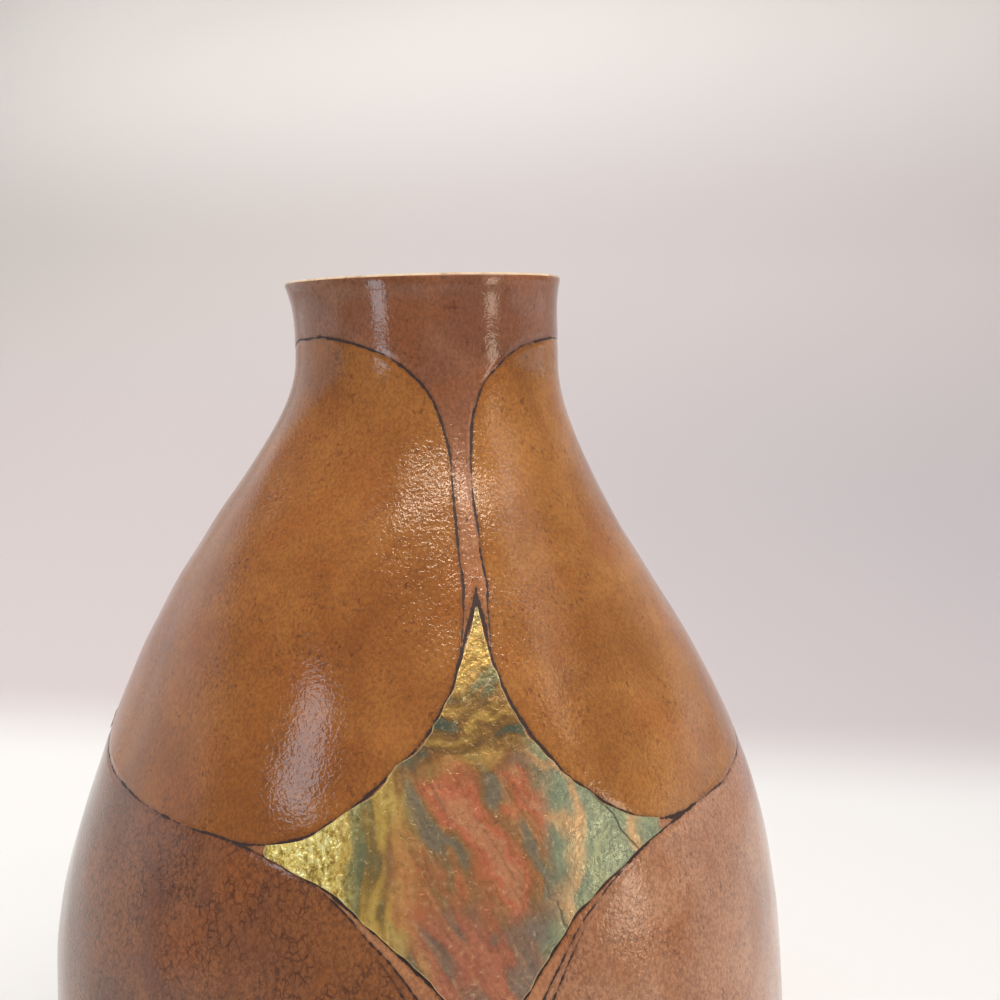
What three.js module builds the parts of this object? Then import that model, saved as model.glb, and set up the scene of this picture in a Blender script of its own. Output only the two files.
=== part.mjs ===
// A vase made of one dried bottle gourd: the fruit is cut open at the neck, scraped
// hollow and sanded flat underneath, and four-pointed stars of metal leaf are laid
// on its skin, evenly round the shoulder.
// Millimetres, +Z up. The origin is the middle of the flat that the vase stands on,
// and the first star faces -Y.

import * as THREE from 'three';

// Skin of the gourd: heights above the table, and radii from its axis
const HEIGHT = 188.5;
const LIP_RADIUS = 25.2;
const NECK_RADIUS = 24.4;
const NECK_HEIGHT = 174;
const BELLY_RADIUS = 70.5;
const BELLY_HEIGHT = 54.7;
const BASE_RADIUS = 29;

// How far each bend of the skin holds its direction
const LIP_FLARE = 1.3;
const NECK_DROP = 20.9;
const SHOULDER_RISE = 59.4;
const BELLY_DROP = 33;
const BASE_REACH = 20;
const BASE_RISE = 7;

// Shell thickness from the floor up to the mouth, and the sanded edges of the cut
const FLOOR_WALL = 7;
const BELLY_WALL = 5;
const NECK_WALL = 4;
const LIP_WALL = 3.6;
const LIP_EASE = 0.7;

// What growth and the hand saw leave uneven
const NECK_DRIFT = 1.4;
const SHOULDER_DRIFT = -1.3;
const SHOULDER_HEIGHT = 141;
const DRIFT_REACH = 17;
const MOUTH_FALL = 1.4;

// Stars of leaf
const STAR_COUNT = 3;
const RING_HEIGHT = 105;
const STAR_TOP = 140;
const STAR_BOTTOM = 77;
const STAR_HALF_ANGLE = THREE.MathUtils.degToRad(38);
const STAR_SIDE_POWER = 2.2;
const STAR_STRAIGHT_SHARE = 0.22;
const STAR_LEAN = THREE.MathUtils.degToRad(5.8);
const STAR_LEAN_POWER = 1.5;
const LEAF_HALF_ANGLE = THREE.MathUtils.degToRad(31);
const LEAF_TOP_GAP = 2.5;
const LEAF_TIP_WIDTH = 0.8;
const LEAF_THICKNESS = 0.3;
const LEAF_CLEARANCE = 0.3;

// Fineness of the facets
const TURN_STEPS = 60;
const SKIN_STEPS = 30;
const INSIDE_STEPS = 20;
const LIP_STEPS = 1;
const LEAF_STEPS_ACROSS = 10;
const LEAF_STEPS_UP = 8;

// The skin's outline from the edge of the sanded flat up to the mouth: a full belly, one
// long S over the shoulder into the neck, and a lip that flares at the very top
const lipStart = HEIGHT - LIP_EASE;
const lipLength = lipStart - NECK_HEIGHT;
const skin = new THREE.Path();
skin.moveTo(BASE_RADIUS, 0);
skin.bezierCurveTo(
  BASE_RADIUS + BASE_REACH, BASE_RISE,
  BELLY_RADIUS, BELLY_HEIGHT - BELLY_DROP,
  BELLY_RADIUS, BELLY_HEIGHT,
);
skin.bezierCurveTo(
  BELLY_RADIUS, BELLY_HEIGHT + SHOULDER_RISE,
  NECK_RADIUS, NECK_HEIGHT - NECK_DROP,
  NECK_RADIUS, NECK_HEIGHT,
);
skin.bezierCurveTo(
  NECK_RADIUS, NECK_HEIGHT + lipLength / 2,
  LIP_RADIUS - LIP_FLARE, lipStart - lipLength / 3,
  LIP_RADIUS, lipStart,
);

// The sawn lip: level across, with both of its edges sanded round
const lip = new THREE.Path();
lip.absarc(LIP_RADIUS - LIP_EASE, lipStart, LIP_EASE, 0, Math.PI / 2);
lip.absarc(LIP_RADIUS - LIP_WALL + LIP_EASE, lipStart, LIP_EASE, Math.PI / 2, Math.PI);

// A point at a share of the skin's length, sunk below the skin by a depth
function skinPoint(share, depth) {
  const point = skin.getPoint(share);
  const along = skin.getTangent(share);
  return new THREE.Vector2(point.x - depth * along.y, point.y + depth * along.x);
}

// The share of the skin's length at which it reaches a height
function shareAtHeight(height) {
  let low = 0;
  let high = 1;
  while (high - low > 1e-9) {
    const middle = (low + high) / 2;
    if (skin.getPoint(middle).y < height) low = middle;
    else high = middle;
  }
  return low;
}

const bellyShare = shareAtHeight(BELLY_HEIGHT);
const neckShare = shareAtHeight(NECK_HEIGHT);

// The shell is thickest underneath, and thins evenly to the belly and on to the neck
function wallAt(share) {
  if (share < bellyShare) return THREE.MathUtils.mapLinear(share, 0, bellyShare, FLOOR_WALL, BELLY_WALL);
  return THREE.MathUtils.mapLinear(share, bellyShare, neckShare, BELLY_WALL, NECK_WALL);
}

// Sideways wander of the gourd's axis: the shoulder swells one way, the neck the other
function drift(height) {
  const bump = (centre) => Math.exp(-(((height - centre) / DRIFT_REACH) ** 2));
  return NECK_DRIFT * bump(NECK_HEIGHT) + SHOULDER_DRIFT * bump(SHOULDER_HEIGHT);
}

// Turns a round form into the grown one: its axis wanders, and its mouth is sawn on a slope
function grow(geometry) {
  const places = geometry.attributes.position;
  for (let i = 0; i < places.count; i++) {
    const x = places.getX(i);
    const z = places.getZ(i);
    const rise = THREE.MathUtils.smoothstep(z, NECK_HEIGHT, HEIGHT);
    places.setX(i, x + drift(z));
    places.setZ(i, z + (rise * MOUTH_FALL * x) / (2 * LIP_RADIUS));
  }
  geometry.computeVertexNormals();
  return geometry;
}

// One revolved outline: sanded flat, skin, lip, and an inside that follows the skin from
// the neck down to the floor
function shellGeometry() {
  const outline = [new THREE.Vector2(0, 0)];
  for (let i = 0; i < SKIN_STEPS; i++) outline.push(skinPoint(i / SKIN_STEPS, 0));
  outline.push(...lip.getPoints(LIP_STEPS));
  for (let i = INSIDE_STEPS; i >= 0; i--) {
    const share = (neckShare * i) / INSIDE_STEPS;
    outline.push(skinPoint(share, wallAt(share)));
  }
  outline.push(new THREE.Vector2(0, FLOOR_WALL));
  return grow(new THREE.LatheGeometry(outline, TURN_STEPS).rotateX(Math.PI / 2));
}

// Half a star's width, as an angle, at a share of the way from its ring line to a tip: each
// side is a quarter of a superellipse, mixed with a straight line that keeps the tip pointed
function starHalfAngle(share) {
  const inward = (1 - (1 - share) ** STAR_SIDE_POWER) ** (1 / STAR_SIDE_POWER);
  return STAR_HALF_ANGLE * (1 - THREE.MathUtils.lerp(inward, share, STAR_STRAIGHT_SHARE));
}

// Rows of one leaf, from the star's lower tip to a gap below its upper one, closer together
// at the ring line
function leafRows() {
  const rows = [];
  for (let i = -LEAF_STEPS_UP; i <= LEAF_STEPS_UP; i++) {
    const starTip = i < 0 ? STAR_BOTTOM : STAR_TOP;
    const leafTip = i < 0 ? STAR_BOTTOM : STAR_TOP - LEAF_TOP_GAP;
    const height = THREE.MathUtils.lerp(RING_HEIGHT, leafTip, (i / LEAF_STEPS_UP) ** 2);
    const share = (height - RING_HEIGHT) / (starTip - RING_HEIGHT);
    const blunt = LEAF_TIP_WIDTH / 2 / skinPoint(shareAtHeight(height), 0).x;
    rows.push({
      height,
      lean: i < 0 ? 0 : STAR_LEAN * share ** STAR_LEAN_POWER,
      halfAngle: THREE.MathUtils.clamp(starHalfAngle(share), blunt, LEAF_HALF_ANGLE),
    });
  }
  return rows;
}

// A sheet of leaf bent over the skin: an outer and an inner face on one grid, walled round
function leafGeometry(facing) {
  const rows = leafRows();
  const columns = LEAF_STEPS_ACROSS + 1;
  const places = [];
  for (const lift of [LEAF_CLEARANCE + LEAF_THICKNESS, LEAF_CLEARANCE]) {
    for (const row of rows) {
      const place = skinPoint(shareAtHeight(row.height), -lift);
      for (let c = 0; c < columns; c++) {
        const across = (2 * c) / LEAF_STEPS_ACROSS - 1;
        const turn = facing + row.lean + across * row.halfAngle;
        places.push(place.x * Math.sin(turn), -place.x * Math.cos(turn), place.y);
      }
    }
  }

  const faces = [];
  const inner = rows.length * columns;
  const quad = (a, b, c, d) => faces.push(a, b, c, a, c, d);
  for (let r = 0; r < rows.length - 1; r++) {
    for (let c = 0; c < LEAF_STEPS_ACROSS; c++) {
      const corner = r * columns + c;
      quad(corner, corner + 1, corner + columns + 1, corner + columns);
      quad(inner + corner, inner + corner + columns, inner + corner + columns + 1, inner + corner + 1);
    }
  }

  const rim = [];
  const top = (rows.length - 1) * columns;
  for (let c = 0; c < LEAF_STEPS_ACROSS; c++) rim.push(c);
  for (let r = 0; r < rows.length - 1; r++) rim.push(r * columns + LEAF_STEPS_ACROSS);
  for (let c = LEAF_STEPS_ACROSS; c > 0; c--) rim.push(top + c);
  for (let r = rows.length - 1; r > 0; r--) rim.push(r * columns);
  rim.forEach((here, i) => {
    const next = rim[(i + 1) % rim.length];
    quad(here, inner + here, inner + next, next);
  });

  const geometry = new THREE.BufferGeometry();
  geometry.setAttribute('position', new THREE.Float32BufferAttribute(places, 3));
  geometry.setIndex(faces);
  return grow(geometry);
}

const gourdSkin = new THREE.MeshStandardMaterial({ color: '#9a5a30', roughness: 0.42, metalness: 0 });
const metalLeaf = new THREE.MeshStandardMaterial({ color: '#a98a4c', roughness: 0.35, metalness: 0.9 });

const vase = new THREE.Group();
vase.name = 'gourd_vase';

const shell = new THREE.Mesh(shellGeometry(), gourdSkin);
shell.name = 'gourd_shell';
vase.add(shell);

for (let i = 0; i < STAR_COUNT; i++) {
  const leaf = new THREE.Mesh(leafGeometry((2 * Math.PI * i) / STAR_COUNT), metalLeaf);
  leaf.name = `leaf_star_${i + 1}`;
  vase.add(leaf);
}

export default vase;
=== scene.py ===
"""A vase made of one dried bottle gourd, with burned lines, dyed panels and stars of metal leaf.

Lengths are in millimetres until a mesh is made, and lamps are placed in metres. Angles round the
gourd are measured from the first star, which faces -Y, and grow towards +X.
"""

import math
from math import pi, radians

import bpy
import numpy as np
from mathutils import Matrix, Vector


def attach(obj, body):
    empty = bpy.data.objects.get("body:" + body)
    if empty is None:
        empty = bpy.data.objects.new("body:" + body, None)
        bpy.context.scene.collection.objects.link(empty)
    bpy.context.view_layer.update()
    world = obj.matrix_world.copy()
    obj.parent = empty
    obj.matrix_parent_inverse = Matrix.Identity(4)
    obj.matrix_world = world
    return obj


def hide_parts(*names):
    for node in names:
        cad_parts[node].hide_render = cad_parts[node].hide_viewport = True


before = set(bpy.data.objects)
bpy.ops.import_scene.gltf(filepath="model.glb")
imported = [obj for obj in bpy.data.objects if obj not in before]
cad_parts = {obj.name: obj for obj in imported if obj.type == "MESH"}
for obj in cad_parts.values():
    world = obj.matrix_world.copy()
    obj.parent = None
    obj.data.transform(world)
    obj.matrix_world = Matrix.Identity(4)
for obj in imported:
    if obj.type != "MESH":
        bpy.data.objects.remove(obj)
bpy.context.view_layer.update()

MM = 0.001
TURN = 2 * pi

# Skin of the gourd: heights above the table, radii from its axis, and how far each bend
# holds its direction
HEIGHT = 188.5
LIP_RADIUS = 25.2
NECK_RADIUS = 24.4
NECK_HEIGHT = 174
BELLY_RADIUS = 70.5
BELLY_HEIGHT = 54.7
BASE_RADIUS = 29
LIP_FLARE = 1.3
NECK_DROP = 20.9
SHOULDER_RISE = 59.4
BELLY_DROP = 33
BASE_REACH = 20
BASE_RISE = 7

# Shell thickness from the floor up to the mouth, and the sanded edges of the cut
FLOOR_WALL = 7
BELLY_WALL = 5
NECK_WALL = 4
LIP_WALL = 3.6
LIP_EASE = 0.7
LIP_START = HEIGHT - LIP_EASE

# What growth and the hand saw leave uneven: sizes, lengths of the waves, and how far from the
# flat underneath, the lip or the middle of the floor they fade in
NECK_DRIFT = 1.4
SHOULDER_DRIFT = -1.3
SHOULDER_HEIGHT = 141
DRIFT_REACH = 17
MOUTH_FALL = 1.4
MOUTH_WAVER = 0.12
WAVER_LENGTH = 30
WAVER_REACH = 5
SWELL = 0.22
SWELL_LENGTH = 48
DIMPLE = 0.035
DIMPLE_LENGTH = 11
SWELL_FROM_FLAT = (2, 16)
SWELL_FROM_LIP = (2, 14)
COLLAR = 0.45
COLLAR_HEIGHT = 149
COLLAR_REACH = 9
SCRAPE = 0.16
SCRAPE_LENGTH = 9
SCRAPE_UPRIGHT = 0.4
SCRAPE_FROM_LIP = (3, 20)
SCRAPE_FROM_MIDDLE = (4, 20)

# Stars, and how far above its tip a star's lean lasts
STAR_COUNT = 3
SECTOR = TURN / STAR_COUNT
RING_HEIGHT = 105
STAR_TOP = 140
STAR_BOTTOM = 77
STAR_HALF_ANGLE = radians(38)
STAR_SIDE_POWER = 2.2
STAR_STRAIGHT_SHARE = 0.22
STAR_LEAN = radians(5.8)
STAR_LEAN_POWER = 1.5
LEAN_LASTS = 7

# Panels between the stars: the bare ribs that part them and their rounded corners
NECK_LINE = 177.6
BASE_LINE = 17
RIB_HALF_ANGLE = radians(2.55)
RIB_BLEND = radians(0.5)
NECK_CORNER_ANGLE = radians(51)
NECK_CORNER_HEIGHT = 27
NECK_CORNER_POWER = 1.35
NECK_LEAN_SHARE = 0.2
LOWER_RIB_HALF_ANGLE = radians(3.3)
ECHO_HALF_ANGLE = radians(5)
LOWER_LINE_START = 103
LOWER_LINE_REACH = 20
BASE_CORNER_ANGLE = radians(22)
BASE_CORNER_HEIGHT = 20

# Burned lines: half width of each outline, depth, how much the hand wandered, and the heights
# over which the tilt of the ring dies away
LINE_HALF = {"star_edge": 0.24, "upper_edge": 0.16, "lower_edge": 0.15, "echo_edge": 0.13}
EDGE_LIMIT = 4.0
BURN_DEPTH = 0.1
BURN_REACH = 0.35
HAND_WANDER = 0.22
WANDER_LENGTH = 26
HAND_SHIVER = 0.08
SHIVER_LENGTH = 8
RING_TILT = 0.025
TILT_SPAN = (160, 110)

# Leaf: bare corners beside the star, ragged edge that starts where a tip is wide enough, lift off
# the skin, thickness, and the steps between sheets that keep their patterns apart
LEAF_HALF_ANGLE = radians(29.8)
LEAF_TOP_GAP = 2.5
LEAF_TIP_WIDTH = 0.25
LEAF_INSET = 0.28
LEAF_RAGGED = 0.16
RAG_LENGTHS = (5, 1.9)
RAG_SPAN = (0.5, 3)
RAG_POWER = 6
LEAF_LIFT = 0.1
LEAF_THICKNESS = 0.05
LEAF_CRUMPLE = 0.025
CRUMPLE_LENGTHS = (4.5, 2.2)
FINE_CRUMPLE_SHARE = 0.6
SHEET_STEP = 70
PATTERN_STEP = 37

# Where a burned line grows bolder or finer: ink that fills the star's upper tip, its flanks
# outside, its very point, its left and right corners, and the start of the lower lines
FILL_SPAN = (STAR_TOP - 2 * LEAF_TOP_GAP, STAR_TOP)
FLANK_HEIGHT = STAR_TOP - 4.5
FLANK_REACH = 5
FLANK_BOLDER = 0.3
POINT_SPAN = (STAR_TOP - 2.5, STAR_TOP + 0.2)
POINT_FINER = -0.2
CORNER_REACH = 4
CORNER_FINER = -0.12
LOWER_SPAN = (LOWER_LINE_START - 14, LOWER_LINE_START)
LOWER_FINER = -0.12
ECHO_SPAN = (LOWER_LINE_START - 12, LOWER_LINE_START - 5)
ECHO_FINER = -0.4

# Skin colour: heights where the neck's brown turns into the paler rib, whose paler tone is partly
# dye and partly a painted highlight, the span along X from the darker to the paler tones, a warm
# streak low on the left, and where the neck's varnish turns smoother
RIB_SPAN = (168, 148)
FAIR_SPAN = (-30, 30)
EMBER_X = -18
EMBER_REACH = 24
POLISH_SPAN = (166, 178)

# Floor and backdrop: where the sweep leaves the level, the width of the paper's soft edge there,
# its radius, its turn towards the camera, its reach to each side and up, and the span along X
# over which its painted shade changes
SWEEP_START = 184
SWEEP_EDGE = 80
SWEEP_BEND = 600
SWEEP_TURN = radians(-18.7)
SWEEP_REACH = 1500
SWEEP_TOP = 2000
SHADE_SPAN = (-350, 450)

# Camera: where it stands, how far it turns to the right of the axis and down, and its lens on a
# sensor of the same width
CAMERA_DISTANCE = 189.5
CAMERA_HEIGHT = 179.5
CAMERA_AZIMUTH = radians(-7)
CAMERA_YAW = radians(4.49)
CAMERA_PITCH = radians(9.71)
CAMERA_LENS = 36

# Fineness of curves, number and spread in length of added waves, and places measured at a time
CURVE_POINTS = 600
ARC_POINTS = 40
SKIN_POINTS = 2000
SIDE_POINTS = 900
LEVEL_POINTS = 160
LINE_STEP = 0.5
SECTOR_OVERLAP = radians(3)
WAVES = 24
WAVE_SPREAD = (0.7, 1.4)
BLOCK = 16000

# Fineness of the meshes
CELL_STEPS = 4
CELLS_ROUND = 231
UNDERSIDE_CELLS = 8
SKIN_CELLS = 128
LIP_CELLS = 12
INSIDE_CELLS = 44
CAP_RADIUS = 3
NEAR_LINE = 0.75
LEAF_STEPS_ACROSS = 64
LEAF_STEPS_UP = 56

# Rows of the shell's lattice where the skin starts and ends, and where the lip ends
SKIN_START = UNDERSIDE_CELLS * CELL_STEPS
SKIN_END = SKIN_START + SKIN_CELLS * CELL_STEPS
LIP_END = SKIN_END + LIP_CELLS * CELL_STEPS


def bezier(*ends):
    """Points of a cubic curve: its four ends weighted by the shares (1-t)^3 to t^3."""
    t = np.linspace(0, 1, CURVE_POINTS)[:, None]
    a, b, c, d = np.array(ends, float)
    return (1 - t) ** 3 * a + 3 * (1 - t) ** 2 * t * b + 3 * (1 - t) * t**2 * c + t**3 * d


def arc(centre, radius, start, end):
    """Points of a circle's arc: the centre plus the radius turned from start to end."""
    turn = np.linspace(start, end, ARC_POINTS)
    return np.column_stack([centre[0] + radius * np.cos(turn), centre[1] + radius * np.sin(turn)])


def length_along(points):
    """Distance travelled along a line of points, from its first one."""
    return np.concatenate([[0], np.cumsum(np.linalg.norm(np.diff(points, axis=0), axis=1))])


def spaced(points, count):
    """The same line with count points at even lengths."""
    travelled = length_along(points)
    wanted = np.linspace(0, travelled[-1], count)
    return np.column_stack([np.interp(wanted, travelled, axis) for axis in points.T])


def normals_of(outline):
    """Outward directions of an outline that climbs with its solid on the left: the run of the
    line turned by -90 degrees."""
    run = np.gradient(outline, axis=0)
    run /= np.linalg.norm(run, axis=1)[:, None]
    return np.column_stack([run[:, 1], -run[:, 0]])


def skin_outline():
    """Radius and height along the skin: a full belly, one long S into the neck, a flared lip."""
    lip_length = LIP_START - NECK_HEIGHT
    belly = (BELLY_RADIUS, BELLY_HEIGHT)
    neck = (NECK_RADIUS, NECK_HEIGHT)
    under = bezier(
        (BASE_RADIUS, 0),
        (BASE_RADIUS + BASE_REACH, BASE_RISE),
        (BELLY_RADIUS, BELLY_HEIGHT - BELLY_DROP),
        belly,
    )
    shoulder = bezier(
        belly,
        (BELLY_RADIUS, BELLY_HEIGHT + SHOULDER_RISE),
        (NECK_RADIUS, NECK_HEIGHT - NECK_DROP),
        neck,
    )
    flare = bezier(
        neck,
        (NECK_RADIUS, NECK_HEIGHT + lip_length / 2),
        (LIP_RADIUS - LIP_FLARE, LIP_START - lip_length / 3),
        (LIP_RADIUS, LIP_START),
    )
    return np.vstack([under, shoulder[1:], flare[1:]])


SKIN = spaced(skin_outline(), SKIN_POINTS)
SKIN_OUT = normals_of(SKIN)


def lip_outline():
    """The sawn lip: two edges sanded round, and a level cut between them."""
    outer = arc((LIP_RADIUS - LIP_EASE, LIP_START), LIP_EASE, 0, pi / 2)
    inner = arc((LIP_RADIUS - LIP_WALL + LIP_EASE, LIP_START), LIP_EASE, pi / 2, pi)
    return np.vstack([outer, inner])


def inside_outline():
    """The scraped inside, from the lip down: the skin sunk by the wall, which thickens
    evenly from the neck to the belly and on to the floor, then the floor itself."""
    below_neck = SKIN[:, 1] < NECK_HEIGHT
    wall = np.interp(
        SKIN[below_neck, 1], [0, BELLY_HEIGHT, NECK_HEIGHT], [FLOOR_WALL, BELLY_WALL, NECK_WALL]
    )
    sunk = SKIN[below_neck] - SKIN_OUT[below_neck] * wall[:, None]
    start = [[LIP_RADIUS - LIP_WALL, LIP_START]]
    return np.vstack([start, sunk[::-1], [[CAP_RADIUS, FLOOR_WALL]]])


def shell_rows():
    """The whole outline as rows of a lattice, from the middle of the underside over skin and
    lip to the middle of the floor, each stretch cut evenly into its own number of cells."""
    underside = np.array([[CAP_RADIUS, 0.0], [BASE_RADIUS, 0.0]])
    stretches = [
        (underside, UNDERSIDE_CELLS),
        (SKIN, SKIN_CELLS),
        (lip_outline(), LIP_CELLS),
        (inside_outline(), INSIDE_CELLS),
    ]
    rows = [spaced(line, cells * CELL_STEPS + 1)[:-1] for line, cells in stretches]
    rows.append(np.array([[CAP_RADIUS, FLOOR_WALL]], float))
    return np.vstack(rows)


def stand(turn, radius, height):
    """Places on a round form: the radius turned about the upright axis, at a height."""
    return np.stack([radius * np.sin(turn), -radius * np.cos(turn), height], axis=-1)


def ripples(places, wavelength, seed):
    """Smooth unevenness of about -1 to 1: two dozen plane waves of about one length, with
    directions and phases drawn from a fixed seed, added up."""
    draw = np.random.default_rng(seed)
    ways = draw.normal(size=(3, WAVES))
    ways /= np.linalg.norm(ways, axis=0)
    lengths = wavelength * draw.uniform(*WAVE_SPREAD, WAVES)
    phases = draw.uniform(0, TURN, WAVES)
    return np.sin(places @ (ways * TURN / lengths) + phases).sum(axis=-1) / math.sqrt(WAVES / 2)


def smooth(value, low, high):
    """A soft step from 0 at low to 1 at high: 3t^2 - 2t^3."""
    t = np.clip((value - low) / (high - low), 0, 1)
    return t * t * (3 - 2 * t)


def grow(places):
    """Turns a round form into the grown one: two bumps of drift move its axis along X, and
    the mouth falls with X above the neck."""
    x, y, z = np.moveaxis(places, -1, 0)
    drift = NECK_DRIFT * np.exp(-(((z - NECK_HEIGHT) / DRIFT_REACH) ** 2))
    drift += SHOULDER_DRIFT * np.exp(-(((z - SHOULDER_HEIGHT) / DRIFT_REACH) ** 2))
    fall = smooth(z, NECK_HEIGHT, HEIGHT) * MOUTH_FALL * x / (2 * LIP_RADIUS)
    return np.stack([x + drift, y, z + fall], axis=-1)


def skin_swell(places):
    """How far the grown skin stands off the round one: long swellings and small dimples that
    die away at the flat underneath and at the lip, and a low collar in front, below the neck."""
    x, y, z = np.moveaxis(places, -1, 0)
    hold = smooth(z, *SWELL_FROM_FLAT) * smooth(HEIGHT - z, *SWELL_FROM_LIP)
    uneven = SWELL * ripples(places, SWELL_LENGTH, seed=3)
    uneven += DIMPLE * ripples(places, DIMPLE_LENGTH, seed=4)
    off_collar = ((z - COLLAR_HEIGHT) / COLLAR_REACH) ** 2 + np.arctan2(x, -y) ** 2
    return hold * uneven + COLLAR * np.exp(-off_collar)


def radius_at(height):
    """Radius of the round skin at a height."""
    return np.interp(height, SKIN[:, 1], SKIN[:, 0])


def skin_place(turn, height, lift):
    """Places on the grown skin, lifted off it along its outward direction."""
    across = np.interp(height, SKIN[:, 1], SKIN_OUT[:, 0])
    up = np.interp(height, SKIN[:, 1], SKIN_OUT[:, 1])
    round_places = stand(turn, radius_at(height), height)
    out = stand(turn, across, up)
    return grow(round_places + out * (skin_swell(round_places) + lift)[..., None])


def star_half_angle(height):
    """Half a star's width: each of its four sides is a quarter of a superellipse, drawn in to
    the tips above and below the ring line and mixed with a straight line."""
    tip = np.where(height < RING_HEIGHT, STAR_BOTTOM, STAR_TOP)
    share = np.clip((height - RING_HEIGHT) / (tip - RING_HEIGHT), 0, 1)
    inward = (1 - (1 - share) ** STAR_SIDE_POWER) ** (1 / STAR_SIDE_POWER)
    return STAR_HALF_ANGLE * (1 - inward + STAR_STRAIGHT_SHARE * (inward - share))


def lean(height):
    """How far the middle of a star and of the rib above it leans to one side: it grows from the
    ring line to the star's tip and goes most of the way back up to the neck line."""
    share = np.clip((height - RING_HEIGHT) / (STAR_TOP - RING_HEIGHT), 0, 1)
    back = (1 - NECK_LEAN_SHARE) * smooth(height, STAR_TOP + LEAN_LASTS, NECK_LINE)
    return STAR_LEAN * share**STAR_LEAN_POWER * (1 - back)


def corner_angle(share, widest, power=1.0):
    """How far a quarter ellipse has opened at a share of its height. A power above 1 holds it
    narrow for longer."""
    return widest * (1 - np.sqrt(1 - np.clip(share, 0, 1) ** 2)) ** power


def upper_half_angle(height):
    """Half the gap between two upper panels: the star, then a rib of even width, blended as
    the larger of the two, then a quarter ellipse, held narrow by a power, that opens it to
    the neck line."""
    star = star_half_angle(height)
    rib = (star + RIB_HALF_ANGLE + np.hypot(star - RIB_HALF_ANGLE, RIB_BLEND)) / 2
    share = (height - NECK_LINE) / NECK_CORNER_HEIGHT + 1
    return rib + corner_angle(share, NECK_CORNER_ANGLE, NECK_CORNER_POWER)


def lower_half_angle(height, rib_half_angle=LOWER_RIB_HALF_ANGLE):
    """Half the gap between two lower panels: it leaves the star's side as a root curve, runs
    down as a rib, and a quarter ellipse opens it to the base line."""
    away = np.sqrt(np.clip((LOWER_LINE_START - height) / LOWER_LINE_REACH, 0, 1))
    corner = corner_angle((BASE_LINE - height) / BASE_CORNER_HEIGHT + 1, BASE_CORNER_ANGLE)
    return star_half_angle(height) + rib_half_angle * away + corner


def echo_half_angle(height):
    """Half the gap between the second lines that follow the outlines of the lower panels."""
    return lower_half_angle(height, ECHO_HALF_ANGLE)


def sides(half_angle, start, end):
    """A pair of lines on the round skin, left and right of a star's middle: the half angle at
    each height, with heights closer together at both ends, spaced evenly along the skin."""
    share = (1 - np.cos(np.linspace(0, pi, SIDE_POINTS))) / 2
    height = start + (end - start) * share
    lines = []
    for side in (-1, 1):
        line = stand(lean(height) + side * half_angle(height), radius_at(height), height)
        lines.append(spaced(line, int(length_along(line)[-1] / LINE_STEP) + 2))
    return lines


def level(height, half_angle):
    """A pair of level lines that run from a star's sides to just past the next sector."""
    full = np.full(LEVEL_POINTS, float(height))
    lines = []
    for side in (-1, 1):
        start = lean(height) + side * half_angle(height)
        turn = np.linspace(start, side * (SECTOR / 2 + SECTOR_OVERLAP), LEVEL_POINTS)
        lines.append(stand(turn, radius_at(full), full))
    return lines


# Panels beside a star: half the gap between two of them, and the level line at their far end
PANELS = {
    "upper_edge": (upper_half_angle, NECK_LINE),
    "lower_edge": (lower_half_angle, BASE_LINE),
    "echo_edge": (echo_half_angle, BASE_LINE),
}


def outlines():
    """The closed outlines of one star and its panels, each made of lines on the round skin."""
    star = sides(star_half_angle, STAR_BOTTOM, RING_HEIGHT)
    ring = level(RING_HEIGHT, star_half_angle)
    found = {"star_edge": star + sides(star_half_angle, RING_HEIGHT, STAR_TOP)}
    for name, (half_angle, far) in PANELS.items():
        low, high = sorted((far, RING_HEIGHT))
        found[name] = sides(half_angle, low, high) + level(far, half_angle) + ring
    return found


OUTLINES = outlines()


def distance_to(places, line):
    """Distance from each place to a line of short runs: the nearest point of the line is
    found, and the place is dropped onto the two runs that meet there."""
    least = np.empty(len(places))
    for start in range(0, len(places), BLOCK):
        block = places[start : start + BLOCK]
        gaps = (line**2).sum(axis=1) - 2 * block @ line.T
        nearest = gaps.argmin(axis=1)
        found = np.full(len(block), np.inf)
        for step in (-1, 1):
            a = line[nearest]
            run = line[np.clip(nearest + step, 0, len(line) - 1)] - a
            share = ((block - a) * run).sum(axis=1) / np.maximum((run**2).sum(axis=1), 1e-12)
            drop = block - a - run * np.clip(share, 0, 1)[:, None]
            found = np.minimum(found, np.linalg.norm(drop, axis=1))
        least[start : start + BLOCK] = found
    return least


def hand(places):
    """How far the drawing hand strayed from the plan: slow waves, small quick ones, and a ring
    that tilts a little but not up at the neck."""
    slow = np.stack([ripples(places, WANDER_LENGTH, seed) for seed in (11, 12, 13)], axis=-1)
    quick = np.stack([ripples(places, SHIVER_LENGTH, seed) for seed in (14, 15, 16)], axis=-1)
    wander = HAND_WANDER * slow + HAND_SHIVER * quick
    wander[..., 2] += RING_TILT * places[..., 0] * smooth(places[..., 2], *TILT_SPAN)
    return wander


def drawn_place(turn, radius, height):
    """Where a spot of the skin lies on the plan of one star: turned into that star's sector,
    moved as the hand strayed, and set back on the round skin."""
    folded = (turn + SECTOR / 2) % SECTOR - SECTOR / 2
    moved = stand(folded, radius, height) + hand(stand(turn, radius, height))
    x, y, z = np.moveaxis(moved, -1, 0)
    return stand(np.arctan2(x, -y), radius_at(z), z)


def inside_outlines(plan):
    """Whether each spot of the plan lies inside each outline."""
    turn = np.arctan2(plan[:, 0], -plan[:, 1])
    height = plan[:, 2]
    off = np.abs(turn - lean(height))
    inside = {"star_edge": off < star_half_angle(height)}
    for name, (half_angle, far) in PANELS.items():
        low, high = sorted((far, RING_HEIGHT))
        inside[name] = (height > low) & (height < high) & (off > half_angle(height))
    return inside


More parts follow.
